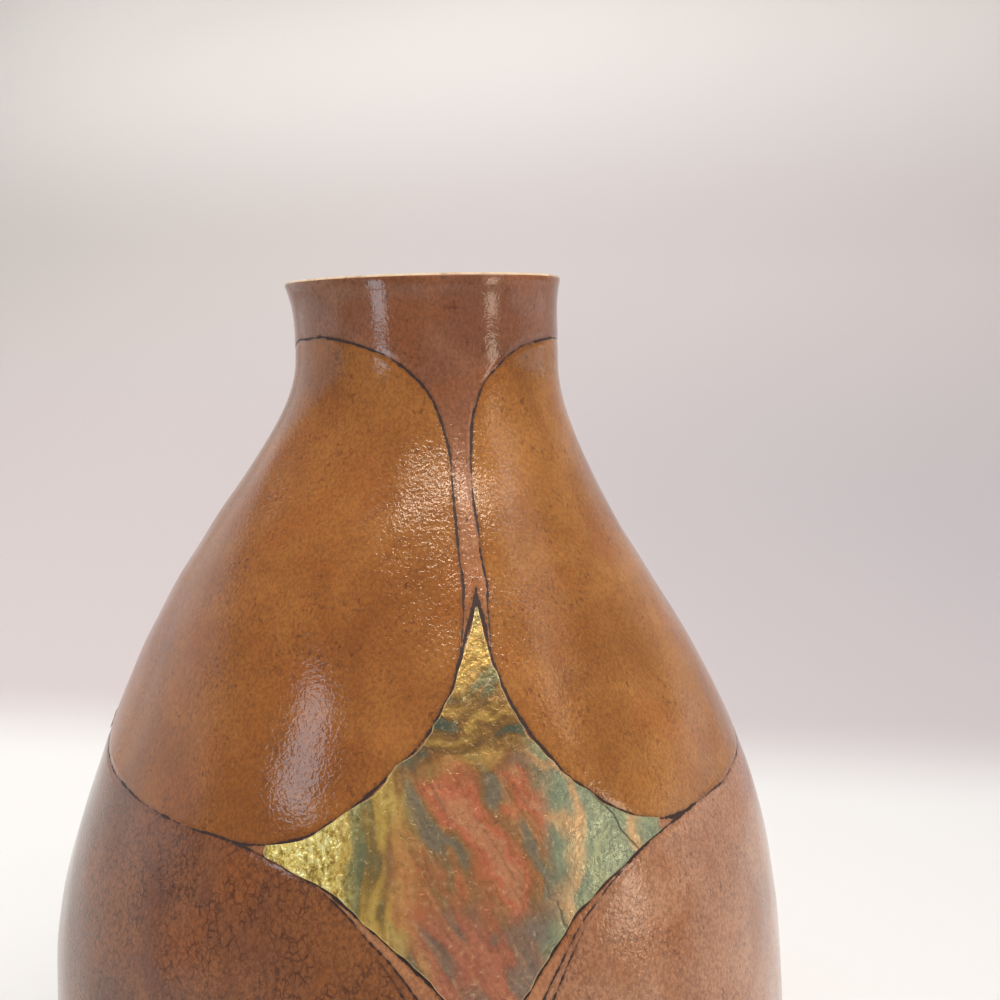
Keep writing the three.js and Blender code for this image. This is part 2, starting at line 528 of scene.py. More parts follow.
def edges_at(plan):
    """Distance to each outline in millimetres, above zero inside it and below zero outside."""
    inside = inside_outlines(plan)
    edges = {}
    for name, lines in OUTLINES.items():
        nearest = np.min([distance_to(plan, line) for line in lines], axis=0)
        away = np.minimum(nearest, EDGE_LIMIT)
        edges[name] = np.where(inside[name], away, -away)
    return edges


def ink_of(edges):
    """How far inside a burned line each spot lies: the half width less the distance, for the
    outline that reaches it best."""
    return np.max([LINE_HALF[name] - np.abs(edge) for name, edge in edges.items()], axis=0)


def lattice_faces(fine):
    """Faces over a lattice of cells that closes on itself round the axis, with one face at either
    end. A fine cell is cut into small quads. A plain cell is one face, which takes in the small
    steps along each side that it shares with a fine cell, so that no gap opens."""
    rows, columns = fine.shape
    steps = CELL_STEPS

    def index(row, column):
        """Number of the vertex at a row and at a column, which runs on round the axis."""
        return row * (columns * steps) + column % (columns * steps)

    row, column = np.nonzero(fine)
    step = np.arange(steps)
    row = (row[:, None, None] * steps + step[:, None]).repeat(steps, axis=2).ravel()
    column = (column[:, None, None] * steps + step).repeat(steps, axis=1).ravel()
    corners = [(0, 0), (0, 1), (1, 1), (1, 0)]
    faces = np.column_stack([index(row + r, column + c) for r, c in corners]).tolist()

    none = np.zeros((1, columns), bool)
    below = np.vstack([none, fine[:-1]])
    above = np.vstack([fine[1:], none])
    right = np.roll(fine, -1, axis=1)
    left = np.roll(fine, 1, axis=1)
    sort = np.where(fine, -1, below + 2 * right + 4 * above + 8 * left)
    walk = [
        [(0, s) for s in range(steps)],
        [(s, steps) for s in range(steps)],
        [(steps, steps - s) for s in range(steps)],
        [(steps - s, 0) for s in range(steps)],
    ]
    for kind in range(2 ** len(walk)):
        row, column = np.nonzero(sort == kind)
        rim = []
        for bit, side in enumerate(walk):
            rim += side if kind >> bit & 1 else side[:1]
        corners = [index(row * steps + r, column * steps + c) for r, c in rim]
        faces += np.column_stack(corners).tolist()

    first = np.arange(0, columns * steps, steps)
    faces.append(first[::-1].tolist())
    faces.append((first + rows * steps * columns * steps).tolist())
    return faces


def grid_faces(grid):
    """One quad for each cell of a grid of vertex numbers."""
    corners = [grid[:-1, :-1], grid[:-1, 1:], grid[1:, 1:], grid[1:, :-1]]
    return np.stack(corners, axis=-1).reshape(-1, 4)


def put(name, data):
    """A new object in the scene."""
    made = bpy.data.objects.new(name, data)
    bpy.context.scene.collection.objects.link(made)
    return made


def add_piece(name, places, faces, materials):
    """A mesh object at the origin, made of places in millimetres and faces."""
    mesh = bpy.data.meshes.new(name)
    mesh.from_pydata(places * MM, [], faces)
    mesh.shade_smooth()
    for material in materials:
        mesh.materials.append(material)
    return put(name, mesh)


def write_values(piece, values):
    """Keeps numbers for each vertex under names that a material can read."""
    for name, numbers in values.items():
        attribute = piece.data.attributes.new(name, "FLOAT", "POINT")
        attribute.data.foreach_set("value", numbers.astype(np.float32))


def fine_cells(rows):
    """Which cells of the shell's lattice are cut small: those with a corner near a burned line."""
    corner = rows[SKIN_START : SKIN_END + 1 : CELL_STEPS]
    turn = np.arange(CELLS_ROUND) * TURN / CELLS_ROUND
    turn, radius = np.meshgrid(turn, corner[:, 0])
    height = np.repeat(corner[:, 1:], CELLS_ROUND, axis=1)
    plan = drawn_place(turn.ravel(), radius.ravel(), height.ravel())
    near = (ink_of(edges_at(plan)) > -NEAR_LINE).reshape(height.shape)
    near = near | np.roll(near, -1, axis=1)
    fine = np.zeros((len(rows) // CELL_STEPS, CELLS_ROUND), bool)
    fine[UNDERSIDE_CELLS : UNDERSIDE_CELLS + SKIN_CELLS] = near[:-1] | near[1:]
    return fine


def shell_piece(materials):
    """The gourd's shell. Rows of the outline are turned about the axis into a lattice that is
    fine only along the burned lines. Each vertex stands on the round form, moves out or in
    by the swell of the skin, the depth of the lines or the scraping inside, and then grows."""
    rows = shell_rows()
    outward = normals_of(rows)
    faces = lattice_faces(fine_cells(rows))
    used = np.unique(np.concatenate(faces))
    faces = [np.searchsorted(used, face).tolist() for face in faces]

    columns = CELLS_ROUND * CELL_STEPS
    row = used // columns
    turn = (used % columns) * TURN / columns
    radius, height = rows[row].T
    round_places = stand(turn, radius, height)
    out = stand(turn, outward[row, 0], outward[row, 1])
    on_skin = (row > SKIN_START) & (row <= SKIN_END)
    inside = row > LIP_END

    plan = drawn_place(turn[on_skin], radius[on_skin], height[on_skin])
    edges = {name: np.full(len(used), -EDGE_LIMIT) for name in OUTLINES}
    for name, edge in edges_at(plan).items():
        edges[name][on_skin] = edge

    burn = BURN_DEPTH * np.exp(-((np.minimum(ink_of(edges), 0) / BURN_REACH) ** 2))
    depth = np.where(on_skin, skin_swell(round_places) - burn, 0)
    scraped = smooth(HEIGHT - height, *SCRAPE_FROM_LIP) * smooth(radius, *SCRAPE_FROM_MIDDLE)
    marks = ripples(round_places * [1, 1, SCRAPE_UPRIGHT], SCRAPE_LENGTH, seed=6)
    depth += np.where(inside, SCRAPE * scraped * marks, 0)
    sawn = MOUTH_WAVER * smooth(height, HEIGHT - WAVER_REACH, HEIGHT)
    waver = ripples(stand(turn, LIP_RADIUS, 0 * turn), WAVER_LENGTH, seed=7)
    round_places[:, 2] -= sawn * (1 + waver) / 2
    places = grow(round_places + out * depth[:, None])

    shell = add_piece("gourd_shell_dressed", places, faces, materials)
    write_values(shell, edges)
    face_row = row[[face[0] for face in faces]]
    part = np.zeros(len(faces), int)
    part[(face_row < SKIN_START) | (face_row >= SKIN_END + CELL_STEPS)] = 1
    part[face_row >= LIP_END] = 2
    shell.data.polygons.foreach_set("material_index", part)
    return shell


def ragged(along, seed):
    """How far a torn side of a sheet strays from its plan: slow waves and quick ones."""
    slow, quick = RAG_LENGTHS
    return LEAF_RAGGED * (ripples(along, slow, seed) + ripples(along, quick, seed + 10))


def leaf_piece(number, material):
    """One sheet of leaf bent over the skin: a grid of shares across the star and from tip to
    tip, closer together at the ring line, with ragged sides and crumpled faces. The grid moves
    as the hand strayed. An outer and an inner face stand on it, and a rim joins them."""
    facing = (number - 1) * SECTOR
    up = np.linspace(-1, 1, 2 * LEAF_STEPS_UP + 1)
    tip = np.where(up < 0, STAR_BOTTOM, STAR_TOP - LEAF_TOP_GAP)
    height = RING_HEIGHT + (tip - RING_HEIGHT) * up**2
    radius = radius_at(height)
    half = np.clip(star_half_angle(height) - LEAF_INSET / radius, None, LEAF_HALF_ANGLE)
    half = np.maximum(half, LEAF_TIP_WIDTH / 2 / radius)

    across = np.linspace(-1, 1, LEAF_STEPS_ACROSS + 1)
    along = np.column_stack([height, radius * 0, radius * 0])
    taper = smooth(half * radius, *RAG_SPAN) / radius
    left = ragged(along, 20 + number) * taper
    right = ragged(along, 40 + number) * taper
    side = np.where(across < 0, left[:, None], right[:, None]) * np.abs(across) ** RAG_POWER
    turn = lean(height)[:, None] + across * half[:, None] + side
    height = np.repeat(height[:, None], len(across), axis=1)
    radius = radius_at(height)
    flat = np.stack([turn * radius, height - RING_HEIGHT, turn * 0 + SHEET_STEP * number], axis=-1)
    margin = (1 - np.abs(across)) * half[:, None] * radius

    moved = stand(turn, radius, height) - hand(stand(turn + facing, radius, height))
    turn = facing + np.arctan2(moved[..., 0], -moved[..., 1])
    height = moved[..., 2]
    slow, quick = CRUMPLE_LENGTHS
    crumple = ripples(flat, slow, seed=61) + FINE_CRUMPLE_SHARE * ripples(flat, quick, seed=62)
    crumple *= LEAF_CRUMPLE
    outer = skin_place(turn, height, LEAF_LIFT + LEAF_THICKNESS + crumple)
    inner = skin_place(turn, height, LEAF_LIFT + crumple)
    places = np.concatenate([outer.reshape(-1, 3), inner.reshape(-1, 3)])

    grid = np.arange(height.size).reshape(height.shape)
    top = grid_faces(grid)
    rim = np.concatenate([grid[0, :-1], grid[:-1, -1], grid[-1, :0:-1], grid[:0:-1, 0]])
    ahead = np.roll(rim, -1)
    wall = np.column_stack([rim, rim + height.size, ahead + height.size, ahead])
    faces = np.vstack([top, top[:, ::-1] + height.size, wall])

    leaf = add_piece(f"leaf_star_{number}_dressed", places, faces.tolist(), [material])
    values = {
        "leaf_across": flat[..., 0],
        "leaf_up": flat[..., 1],
        "leaf_sheet": np.full(height.shape, float(number)),
        "leaf_margin": margin,
    }
    write_values(leaf, {name: np.tile(value.ravel(), 2) for name, value in values.items()})
    return leaf


def is_socket(value):
    """Whether a value comes out of a node."""
    return isinstance(value, bpy.types.NodeSocket)


def start(tree, kind, **settings):
    """A new shader node of a tree, with its settings made."""
    made = tree.nodes.new("ShaderNode" + kind)
    for name, value in settings.items():
        setattr(made, name, value)
    return made


def add(kind, inputs, **settings):
    """A new node in the tree of the sockets that it takes, with each input linked to a socket or
    set to a value."""
    tree = next(value.id_data for value in inputs.values() if is_socket(value))
    made = start(tree, kind, **settings)
    for key, value in inputs.items():
        if is_socket(value):
            tree.links.new(value, made.inputs[key])
        else:
            made.inputs[key].default_value = value
    return made


def calc(operation, *values):
    """The result of one sum or other step of arithmetic."""
    return add("Math", dict(enumerate(values)), operation=operation).outputs[0]


def times(first, second):
    """The product of two values."""
    return calc("MULTIPLY", first, second)


def fade(value, low, high, to_low=0, to_high=1):
    """A value carried smoothly from the range low to high into another range."""
    inputs = dict(enumerate((value, low, high, to_low, to_high)))
    return add("MapRange", inputs, interpolation_type="SMOOTHSTEP").outputs["Result"]


def fade_over(value, span, *to):
    """A length carried smoothly from a span in millimetres into another range."""
    return fade(value, span[0] * MM, span[1] * MM, *to)


def close_to(value, target, reach):
    """1 where a value meets a target, falling to 0 at a reach on either side."""
    apart = calc("ABSOLUTE", calc("SUBTRACT", value, target))
    return fade(apart, 0, reach, 1, 0)


def screen_colour(colour):
    """A colour as it looks on a screen, from 0 to 255, as the linear light that nodes use. A
    socket stays as it is."""
    if is_socket(colour):
        return colour
    share = np.array(colour) / 255
    linear = np.where(share <= 0.04045, share / 12.92, ((share + 0.055) / 1.055) ** 2.4)
    return (*linear.tolist(), 1)


def blend(share, first, second):
    """Two colours mixed by a share, each a socket or a screen colour."""
    inputs = {0: share, 6: screen_colour(first), 7: screen_colour(second)}
    return add("Mix", inputs, data_type="RGBA").outputs[2]


def tint(base, colour, value, low, high, most):
    """A colour laid over another by a share that grows to most as a value goes from low to high."""
    return blend(fade(value, low, high, 0, most), base, colour)


def bands(value, stops, way="LINEAR"):
    """A colour that changes with a value, through stops of a place and a screen colour."""
    ramp = add("ValToRGB", {"Fac": value})
    ramp.color_ramp.interpolation = way
    elements = ramp.color_ramp.elements
    for place, _ in stops[1:-1]:
        elements.new(place)
    for element, (place, colour) in zip(elements, stops):
        element.position = place
        element.color = screen_colour(colour)
    return ramp.outputs["Color"]


def noise(vector, scale, detail=2, rough=0.5, distortion=0):
    """A cloudy value, about 0.5 on average."""
    names = ("Vector", "Scale", "Detail", "Roughness", "Distortion")
    inputs = dict(zip(names, (vector, scale, detail, rough, distortion)))
    return add("TexNoise", inputs).outputs["Fac"]


def value_of(material, name):
    """A number kept for each vertex of a piece."""
    return start(material.node_tree, "Attribute", attribute_name=name).outputs["Fac"]


def parts_of(vector):
    """The X, Y and Z of a vector."""
    return add("SeparateXYZ", {"Vector": vector}).outputs


def stretched(vector, lengths, degrees=0):
    """Coordinates drawn out by a length along each axis, after a turn about Z, so that a
    pattern on them runs one way."""
    inputs = {"Vector": vector, "Scale": lengths, "Rotation": (0, 0, radians(degrees))}
    return add("Mapping", inputs, vector_type="TEXTURE").outputs["Vector"]


def bent(vector, scale, reach):
    """Coordinates pushed about by a cloudy noise, by up to half the reach each way."""
    cloud = add("TexNoise", {"Vector": vector, "Scale": scale}).outputs["Color"]
    push = add("VectorMath", {0: cloud, 1: (0.5, 0.5, 0.5)}, operation="SUBTRACT")
    inputs = {0: push.outputs["Vector"], 1: (reach, reach, reach), 2: vector}
    return add("VectorMath", inputs, operation="MULTIPLY_ADD").outputs["Vector"]


def new_group(name, takes):
    """An empty node group that takes a vector and named values, and its input sockets."""
    group = bpy.data.node_groups.new(name, "ShaderNodeTree")
    group.interface.new_socket("Vector", in_out="INPUT", socket_type="NodeSocketVector")
    for socket, value in takes.items():
        made = group.interface.new_socket(socket, in_out="INPUT", socket_type="NodeSocketFloat")
        made.default_value = value
    return group, group.nodes.new("NodeGroupInput").outputs


def give(group, values):
    """A node group finished with named outputs, each linked to a value."""
    for name in values:
        group.interface.new_socket(name, in_out="OUTPUT", socket_type="NodeSocketFloat")
    given = group.nodes.new("NodeGroupOutput").inputs
    for name, value in values.items():
        group.links.new(value, given[name])
    return group


def use_group(group, inputs):
    """The outputs of a node group placed in a material with its own values."""
    return add("Group", inputs, node_tree=group).outputs


def mottle_group():
    """Patchy colour of a dried shell: broad clouds, a fine grain, a worn net of short dark veins
    that comes and goes, and scattered freckles."""
    group, taken = new_group("shell mottle", {"Cloud Scale": 60, "Vein Scale": 900})
    at = taken["Vector"]
    tall = stretched(at, (1, 1, 1.4))
    clouds = noise(at, taken["Cloud Scale"], 4, 0.55, 0.4)
    grain = noise(tall, 2000, 2, 0.7)
    inputs = {"Vector": bent(tall, 900, 0.0009), "Scale": taken["Vein Scale"]}
    cells = add("TexVoronoi", inputs, feature="DISTANCE_TO_EDGE")
    net = fade(cells.outputs["Distance"], 0, 0.14, 1, 0)
    patches = fade(noise(at, 140, 3), 0.3, 0.55)
    gaps = fade(noise(tall, 800, 3), 0.36, 0.58)
    specks = fade(noise(tall, 1250, 2.5, 0.7), 0.56, 0.66)
    clusters = fade(noise(at, 150), 0.4, 0.62, 0.15, 1)
    values = {
        "Clouds": fade(clouds, 0.25, 0.75),
        "Grain": fade(grain, 0.38, 0.62),
        "Veins": times(net, times(patches, gaps)),
        "Freckles": times(specks, clusters),
    }
    return give(group, values)


def grain_group():
    """Height of a brushed and varnished surface: short flecks over slower ripples."""
    takes = {"Fleck Scale": 1500, "Ripple Scale": 260, "Ripple Share": 0.3}
    group, taken = new_group("varnish grain", takes)
    flecks = noise(taken["Vector"], taken["Fleck Scale"], 1.5, 0.6, 0.5)
    ripple = noise(taken["Vector"], taken["Ripple Scale"])
    height = calc("MULTIPLY_ADD", ripple, taken["Ripple Share"], flecks)
    return give(group, {"Height": height})


def new_material(name):
    """A material, its Principled shader and its object coordinates."""
    material = bpy.data.materials.new(name)
    material.use_nodes = True
    shader = material.node_tree.nodes["Principled BSDF"]
    at = start(material.node_tree, "TexCoord").outputs["Object"]
    return material, shader, at


def link_surface(shader, colour, roughness, height, strength, distance):
    """Links a surface's colour, its roughness and a bump made of its height to the shader."""
    inputs = {"Height": height, "Strength": strength, "Distance": distance}
    normal = add("Bump", inputs).outputs["Normal"]
    for name, value in (("Base Color", colour), ("Roughness", roughness), ("Normal", normal)):
        shader.id_data.links.new(value, shader.inputs[name])


# Skin tones, each in its darker and its paler clouds; the rib's paler tone is partly dye and partly
# a painted highlight
SKIN_TONES = {
    "neck": ((126, 80, 56), (156, 104, 76)),
    "rib": ((166, 110, 73), (186, 130, 91)),
    "tawny": ((137, 79, 32), (170, 107, 48)),
    "amber": ((144, 91, 39), (182, 124, 63)),
    "dark_russet": ((116, 68, 42), (150, 96, 62)),
    "pale_russet": ((170, 121, 90), (199, 148, 113)),
}


def skin_tone_of(at, place, edges, shell):
    """Colour of the dyed skin: brown at the neck and paler along the ribs, where the paler tone is
    partly dye and partly a painted highlight, golden upper panels and russet lower ones, both
    darker towards -X, under rust, worn grain, crackle and freckles."""
    upper = fade(edges["upper_edge"], -0.2, 0.2)
    lower = fade(edges["lower_edge"], -0.2, 0.2)
    fair = fade_over(place["X"], FAIR_SPAN)
    tones = {name: blend(shell["Clouds"], *pair) for name, pair in SKIN_TONES.items()}
    # The rib's paler tone lower down is partly dye and partly a painted highlight
    bare = blend(fade_over(place["Z"], RIB_SPAN), tones["neck"], tones["rib"])
    golden = blend(fair, tones["tawny"], tones["amber"])
    dusk = noise(at, 80, 3, 0.6)
    dusky_russet = tint(tones["dark_russet"], (100, 64, 55), dusk, 0.46, 0.64, 0.5)
    russet = blend(fair, dusky_russet, tones["pale_russet"])
    ember = close_to(place["X"], EMBER_X * MM, EMBER_REACH * MM)
    russet = blend(times(ember, 0.6), russet, (144, 88, 40))
    tone = blend(lower, blend(upper, bare, golden), russet)
    tone = tint(tone, (158, 88, 34), noise(at, 85, 3), 0.5, 0.68, 0.4)

    coarse = times(lower, fade(fair, 0, 1, 0.12, 0.05))
    hollows = fade(shell["Grain"], 0, 1, 1, 0)
    worn = times(calc("ADD", coarse, 0.28), hollows)
    tone = blend(worn, tone, (84, 44, 24))
    crackled = times(fade(fair, 0, 1, 0.66, 0.3), fade(lower, 0, 1, 0.3, 1))
    tone = blend(times(shell["Veins"], crackled), tone, (58, 30, 22))
    return blend(times(shell["Freckles"], 0.5), tone, (70, 32, 18))


def burned_ink(height, edges):
    """How far inside a burned line each spot lies: the half width, which changes with the height,
    less the distance, for the outline that reaches it best."""
    filled = fade_over(height, FILL_SPAN)
    flank = close_to(height, FLANK_HEIGHT * MM, FLANK_REACH * MM)
    point = fade_over(height, POINT_SPAN, 0, POINT_FINER)
    outside = calc("MULTIPLY_ADD", flank, FLANK_BOLDER, point)
    within = calc("GREATER_THAN", edges["star_edge"], 0)
    tip = fade(within, 0, 1, outside, filled)
    corner = close_to(height, RING_HEIGHT * MM, CORNER_REACH * MM)
    bolder = {
        "star_edge": calc("MULTIPLY_ADD", corner, CORNER_FINER, tip),
        "upper_edge": 0,
        "lower_edge": fade_over(height, LOWER_SPAN, 0, LOWER_FINER),
        "echo_edge": fade_over(height, ECHO_SPAN, 0, ECHO_FINER),
    }
    ink = -EDGE_LIMIT
    for name, edge in edges.items():
        reach = calc("SUBTRACT", LINE_HALF[name], calc("ABSOLUTE", edge))
        ink = calc("MAXIMUM", ink, calc("ADD", reach, bolder[name]))
    return ink


def skin_material(mottle, grain):
    """Dyed and varnished gourd skin. The panels' edges choose the dye, and burned lines, dull and
    with a scorched halo, run where an edge is nearer than its line's half width."""
    material, shader, at = new_material("gourd_skin")
    shell = use_group(mottle, {"Vector": at})
    place = parts_of(at)
    edges = {name: value_of(material, name) for name in OUTLINES}
    ink = burned_ink(place["Z"], edges)
    pressed = fade(noise(at, 160, 3, 0.6), 0.3, 0.7, -0.12, 0.13)
    shake = fade(noise(at, 1000, 2, 0.6), 0.3, 0.7, -0.1, 0.09)
    line = fade(calc("ADD", ink, calc("ADD", pressed, shake)), -0.06, 0.06)
    tone = skin_tone_of(at, place, edges, shell)
    tone = tint(tone, (78, 40, 26), ink, -0.6, 0, 0.25)
    colour = blend(line, tone, (50, 25, 13))

    varnish = fade(shell["Clouds"], 0, 1, 0.1, 0.14)
    roughness = calc("MULTIPLY_ADD", line, 0.5, varnish)
    uneven = fade_over(place["Z"], POLISH_SPAN, 1, 0.55)
    height = times(use_group(grain, {"Vector": at})["Height"], uneven)
    link_surface(shader, colour, roughness, height, 1, 0.00006)
    return material


def cut_material(mottle):
    """The sawn and sanded edge of the mouth: pale shell with brown stains and darker pores."""
    material, shader, at = new_material("sawn_edge")
    shell = use_group(mottle, {"Vector": at, "Cloud Scale": 160})
    pale = blend(shell["Clouds"], (194, 158, 116), (232, 208, 172))
    pale = tint(pale, (140, 92, 56), noise(at, 190, 3), 0.5, 0.62, 0.5)
    colour = blend(times(shell["Freckles"], 0.6), pale, (112, 70, 40))
    roughness = fade(shell["Clouds"], 0.2, 0.8, 0.5, 0.7)
    link_surface(shader, colour, roughness, shell["Clouds"], 0.4, 0.0003)
    return material


def inside_material(mottle):
    """The scraped inside: dry, matt pith with long fibres and stains."""
    material, shader, at = new_material("scraped_inside")
    shell = use_group(mottle, {"Vector": at, "Vein Scale": 260})
    fibres = noise(stretched(at, (1, 1, 8)), 700, 4, 0.6)
    pith = blend(shell["Clouds"], (150, 108, 66), (206, 168, 116))
    pith = tint(pith, (112, 76, 44), fibres, 0.45, 0.7, 0.45)
    pith = blend(times(shell["Veins"], 0.35), pith, (96, 62, 36))
    roughness = fade(fibres, 0.2, 0.8, 0.78, 0.95)
    link_surface(shader, pith, roughness, fibres, 0.6, 0.0004)
    return material


def leaf_zones(eased):
    """Shares of a sheet's four sides, of its tips, bright with foil and painted glints, and of the
    calm parts without wrinkles, from its flat coordinates pushed about."""
    spot = parts_of(eased)
    right = fade(spot["X"], 7.5, 12)
    end = fade(spot["X"], -15, -23, 0, 0.9)
    return {
        "left": fade(spot["X"], -7, -13),
        "right": right,
        "top": fade(spot["Y"], 9, 15),
        "low": fade(spot["Y"], -4, -10),
        "tips": calc("MAXIMUM", end, fade(spot["Y"], 20, 28, 0, 0.3)),
        "calm": calc("MAXIMUM", right, fade(spot["Y"], 6, -6, 0, 0.85)),
    }


def leaf_marbling(flat, eased, zones):
    """Colours of the tarnished metal: copper flames and fine threads that run aslant through the
    middle, grey below, upright bands of gold and green on the left, brown and gold at the top,
    pale green on the right, and crumbs of bright foil at the tips, partly gold foil and partly
    painted glints."""
    gentle = bent(flat, 0.09, 4)
    flames = noise(stretched(eased, (1, 4, 1), 26), 0.24, 1)
    copper = [
        (0.34, (138, 126, 104)), (0.43, (160, 122, 80)), (0.52, (188, 120, 78)),
        (0.6, (208, 118, 84)), (0.7, (206, 140, 100)),
    ]
    tongues = noise(stretched(gentle, (1, 9, 1), 28), 0.4, 0.5)
    ash = [
        (0.42, (138, 122, 108)), (0.54, (150, 118, 98)),
        (0.61, (180, 110, 84)), (0.69, (192, 122, 94)),
    ]
    metal = blend(zones["low"], bands(flames, copper), bands(tongues, ash))
    threads = noise(stretched(gentle, (1, 10, 1), 27), 1.1, 2, 0.6)
    metal = tint(metal, (214, 154, 108), threads, 0.54, 0.7, 0.4)
    metal = tint(metal, (120, 92, 68), threads, 0.46, 0.32, 0.35)

    upright = noise(stretched(gentle, (1, 6, 1), -6), 0.36, 1)
    gold = [
        (0.36, (116, 120, 88)), (0.44, (146, 118, 66)), (0.5, (194, 158, 80)),
        (0.57, (216, 184, 100)), (0.66, (174, 134, 72)),
    ]
    metal = blend(zones["left"], metal, bands(upright, gold))
    aloft = noise(stretched(eased, (3, 1, 1), 12), 0.3)
    dusk = [
        (0.38, (90, 98, 80)), (0.46, (122, 92, 54)),
        (0.55, (148, 112, 60)), (0.65, (184, 148, 80)),
    ]
    metal = blend(zones["top"], metal, bands(aloft, dusk))
    pale = fade(noise(eased, 0.2), 0.4, 0.6)
    jade = blend(pale, (138, 150, 124), (158, 166, 130))
    pools = close_to(noise(eased, 0.085, 0), 0.52, 0.07)
    metal = blend(zones["right"], metal, blend(pools, jade, (200, 164, 120)))
    # Crumbs at the tips: gold foil, whose brightest stops are painted glints
    crumbs = noise(stretched(flat, (1, 1.6, 1)), 1.5, 3, 0.65)
    foil_and_glint = [
        (0.36, (150, 124, 54)), (0.44, (204, 172, 82)),
        (0.52, (238, 210, 112)), (0.62, (254, 242, 168)),
    ]
    return blend(zones["tips"], metal, bands(crumbs, foil_and_glint))


def leaf_material(grain):
    """Variegated metal leaf: the marbling, a painted crinkled sheen and shade over it, curled
    wrinkles with painted glints along them, a few dark creases on the right and a thin bright
    margin."""
    material, shader, at = new_material("metal_leaf")
    inputs = {
        "X": value_of(material, "leaf_across"),
        "Y": value_of(material, "leaf_up"),
        "Z": times(value_of(material, "leaf_sheet"), PATTERN_STEP),
    }
    flat = add("CombineXYZ", inputs).outputs["Vector"]
    eased = bent(flat, 0.11, 9)
    zones = leaf_zones(eased)
    metal = leaf_marbling(flat, eased, zones)
    # Painted shade and painted sheen of fine crinkles: darker and paler tints driven by one noise
    crinkle_sheen_and_shade = noise(flat, 1.3, 3, 0.6)
    metal = tint(metal, (104, 78, 50), crinkle_sheen_and_shade, 0.5, 0.3, 0.35)
    metal = tint(metal, (236, 212, 160), crinkle_sheen_and_shade, 0.55, 0.75, 0.3)

    inputs = {"Vector": bent(flat, 0.7, 1.6), "Scale": 0.42}
    cells = add("TexVoronoi", inputs).outputs["Distance"]
    some = fade(noise(flat, 0.75), 0.52, 0.58)
    curl_and_glint = times(close_to(cells, 0.34, 0.022), some)
    curl_and_glint = times(curl_and_glint, calc("SUBTRACT", 1, zones["calm"]))
    # Painted glints along the curled wrinkles; their relief is in the bump below
    metal = blend(times(curl_and_glint, 0.55), metal, (228, 200, 144))
    aslant = stretched(bent(flat, 0.25, 1.5), (1, 7, 1), 40)
    crease = times(close_to(noise(aslant, 0.05, 0), 0.47, 0.005), zones["right"])
    metal = blend(times(crease, 0.8), metal, (74, 66, 48))
    metal = tint(metal, (226, 200, 140), value_of(material, "leaf_margin"), 0.22, 0.05, 0.55)

    roughness = fade(noise(flat, 0.5, 3), 0.3, 0.7, 0.24, 0.38)
    inputs = {"Vector": at, "Fleck Scale": 1300, "Ripple Scale": 420, "Ripple Share": 1.2}
    fine = use_group(grain, inputs)["Height"]
    height = times(fine, fade(zones["tips"], 0, 1, 0.5, 1.4))
    height = calc("MULTIPLY_ADD", curl_and_glint, 0.4, height)
    height = calc("MULTIPLY_ADD", crease, -0.5, height)
    link_surface(shader, metal, roughness, height, 0.8, 0.00025)
    shader.inputs["Metallic"].default_value = 0.5
    return material


def stage_material():
    """Plain paper: a white floor and, past a soft edge, a greyer backdrop whose tones change with
    the height as painted shade. Both are darker on the right, also as painted shade."""
    material, shader, at = new_material("pale_paper")
    away = (-math.sin(SWEEP_TURN), math.cos(SWEEP_TURN), 0)
    behind = add("VectorMath", {0: at, 1: away}, operation="DOT_PRODUCT")
    near = fade_over(behind.outputs["Value"], (SWEEP_START + SWEEP_EDGE, SWEEP_START))
    spot = parts_of(at)
    # Painted shade: the backdrop's tones change with height, and floor and backdrop darken towards
    # +X
    across = fade_over(spot["X"], SHADE_SPAN)
    left = [(0.05, (211, 201, 199)), (0.24, (209, 202, 197)), (0.45, (247, 243, 238))]
    right = [(0.05, (186, 180, 183)), (0.24, (204, 197, 196)), (0.45, (230, 226, 222))]
    walls = [bands(spot["Z"], stops, "EASE") for stops in (left, right)]
    floor = blend(across, (238, 237, 233), (214, 215, 215))
    colour = blend(near, blend(across, *walls), floor)
    material.node_tree.links.new(colour, shader.inputs["Base Color"])
    shader.inputs["Roughness"].default_value = 0.9
    return material


def stage_piece():
    """Floor and backdrop in one sweep: a level run, a wide quarter circle and an upright run,
    carried sideways, and turned a little to face the camera."""
    rise = arc((SWEEP_START, SWEEP_BEND), SWEEP_BEND, -pi / 2, 0)
    top = [[SWEEP_START + SWEEP_BEND, SWEEP_TOP]]
    run = np.vstack([[[-SWEEP_REACH, 0]], rise, top])
    across = np.linspace(-SWEEP_REACH, SWEEP_REACH, 3)
    x, y = np.meshgrid(across, run[:, 0])
    z = np.repeat(run[:, 1:], len(across), axis=1)
    faces = grid_faces(np.arange(x.size).reshape(x.shape))
    cos, sin = math.cos(SWEEP_TURN), math.sin(SWEEP_TURN)
    places = np.stack([x * cos - y * sin, x * sin + y * cos, z], axis=-1).reshape(-1, 3)
    return add_piece("paper_sweep", places, faces.tolist(), [stage_material()])


# The place on the axis that most lamps face, in metres
SHOULDER = Vector((0, 0, 0.13))


def around(azimuth, elevation, distance):
    """A place at a distance from the vase's shoulder, at an azimuth from -Y towards +X and an
    elevation in degrees."""
    turn, rise = radians(azimuth), radians(elevation)
    return SHOULDER + distance * Vector(stand(turn, math.cos(rise), math.sin(rise)))


